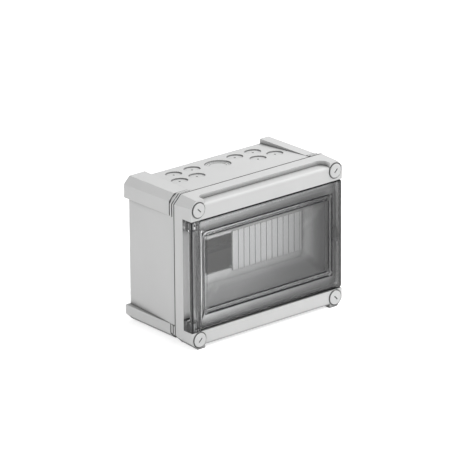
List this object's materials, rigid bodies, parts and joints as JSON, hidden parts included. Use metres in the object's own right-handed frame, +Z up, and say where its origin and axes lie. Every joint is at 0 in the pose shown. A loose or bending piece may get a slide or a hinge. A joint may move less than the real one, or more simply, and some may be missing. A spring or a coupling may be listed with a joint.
{
  "type": "distribution box",
  "caption": "Surface-mounted distribution box with a hinged smoked window door, quarter-turn cover closures and a bay for rail-mounted devices.",
  "frame": {"origin": "middle of the footprint, at the bottom of the box", "axes": "+X to the right as seen from the front, +Y from the door towards the wall, +Z up"},
  "size_m": [0.24, 0.132, 0.19],
  "materials": {
    "housing_grey": "fine moulded grain",
    "blank_grey": "moulded",
    "smoked_plastic": "polished",
    "seal_rubber": "matte",
    "zinc_steel": "zinc plated",
    "brass": "machined",
    "carrier_black": "moulded"
  },
  "bodies": {
    "housing": {"base_box": "housing_grey", "front_cover": "housing_grey", "cover_gasket": "seal_rubber", "closure_seals": "seal_rubber", "door_seal": "seal_rubber", "blanking_strip": "blank_grey", "din_rail": "zinc_steel", "rail_screws": "zinc_steel", "terminal_carrier": "carrier_black", "carrier_screws": "zinc_steel", "neutral_bar": "brass", "neutral_screws": "zinc_steel", "earth_bar": "brass", "earth_screws": "zinc_steel", "fixing_plugs": "blank_grey"},
    "door": {"door": "smoked_plastic", "hinge_pin_upper": "zinc_steel", "hinge_pin_lower": "zinc_steel"},
    "closure_top_left": {"closure_top_left": "housing_grey"},
    "closure_top_right": {"closure_top_right": "housing_grey"},
    "closure_bottom_left": {"closure_bottom_left": "housing_grey"},
    "closure_bottom_right": {"closure_bottom_right": "housing_grey"}
  },
  "joints": [
    {"name": "door_hinge", "type": "hinge", "parent": "housing", "child": "door", "pos_m": [-0.114, -0.0583, 0.095], "axis": [0, 0, -1], "range_deg": [0, 170]},
    {"name": "closure_top_left_turn", "type": "hinge", "parent": "housing", "child": "closure_top_left", "pos_m": [-0.1087, -0.0643, 0.17785], "axis": [0, -1, 0], "range_deg": [0, 90]},
    {"name": "closure_top_right_turn", "type": "hinge", "parent": "housing", "child": "closure_top_right", "pos_m": [0.1087, -0.0643, 0.17785], "axis": [0, -1, 0], "range_deg": [0, 90]},
    {"name": "closure_bottom_left_turn", "type": "hinge", "parent": "housing", "child": "closure_bottom_left", "pos_m": [-0.1087, -0.0643, 0.01215], "axis": [0, -1, 0], "range_deg": [0, 90]},
    {"name": "closure_bottom_right_turn", "type": "hinge", "parent": "housing", "child": "closure_bottom_right", "pos_m": [0.1087, -0.0643, 0.01215], "axis": [0, -1, 0], "range_deg": [0, 90]}
  ]
}
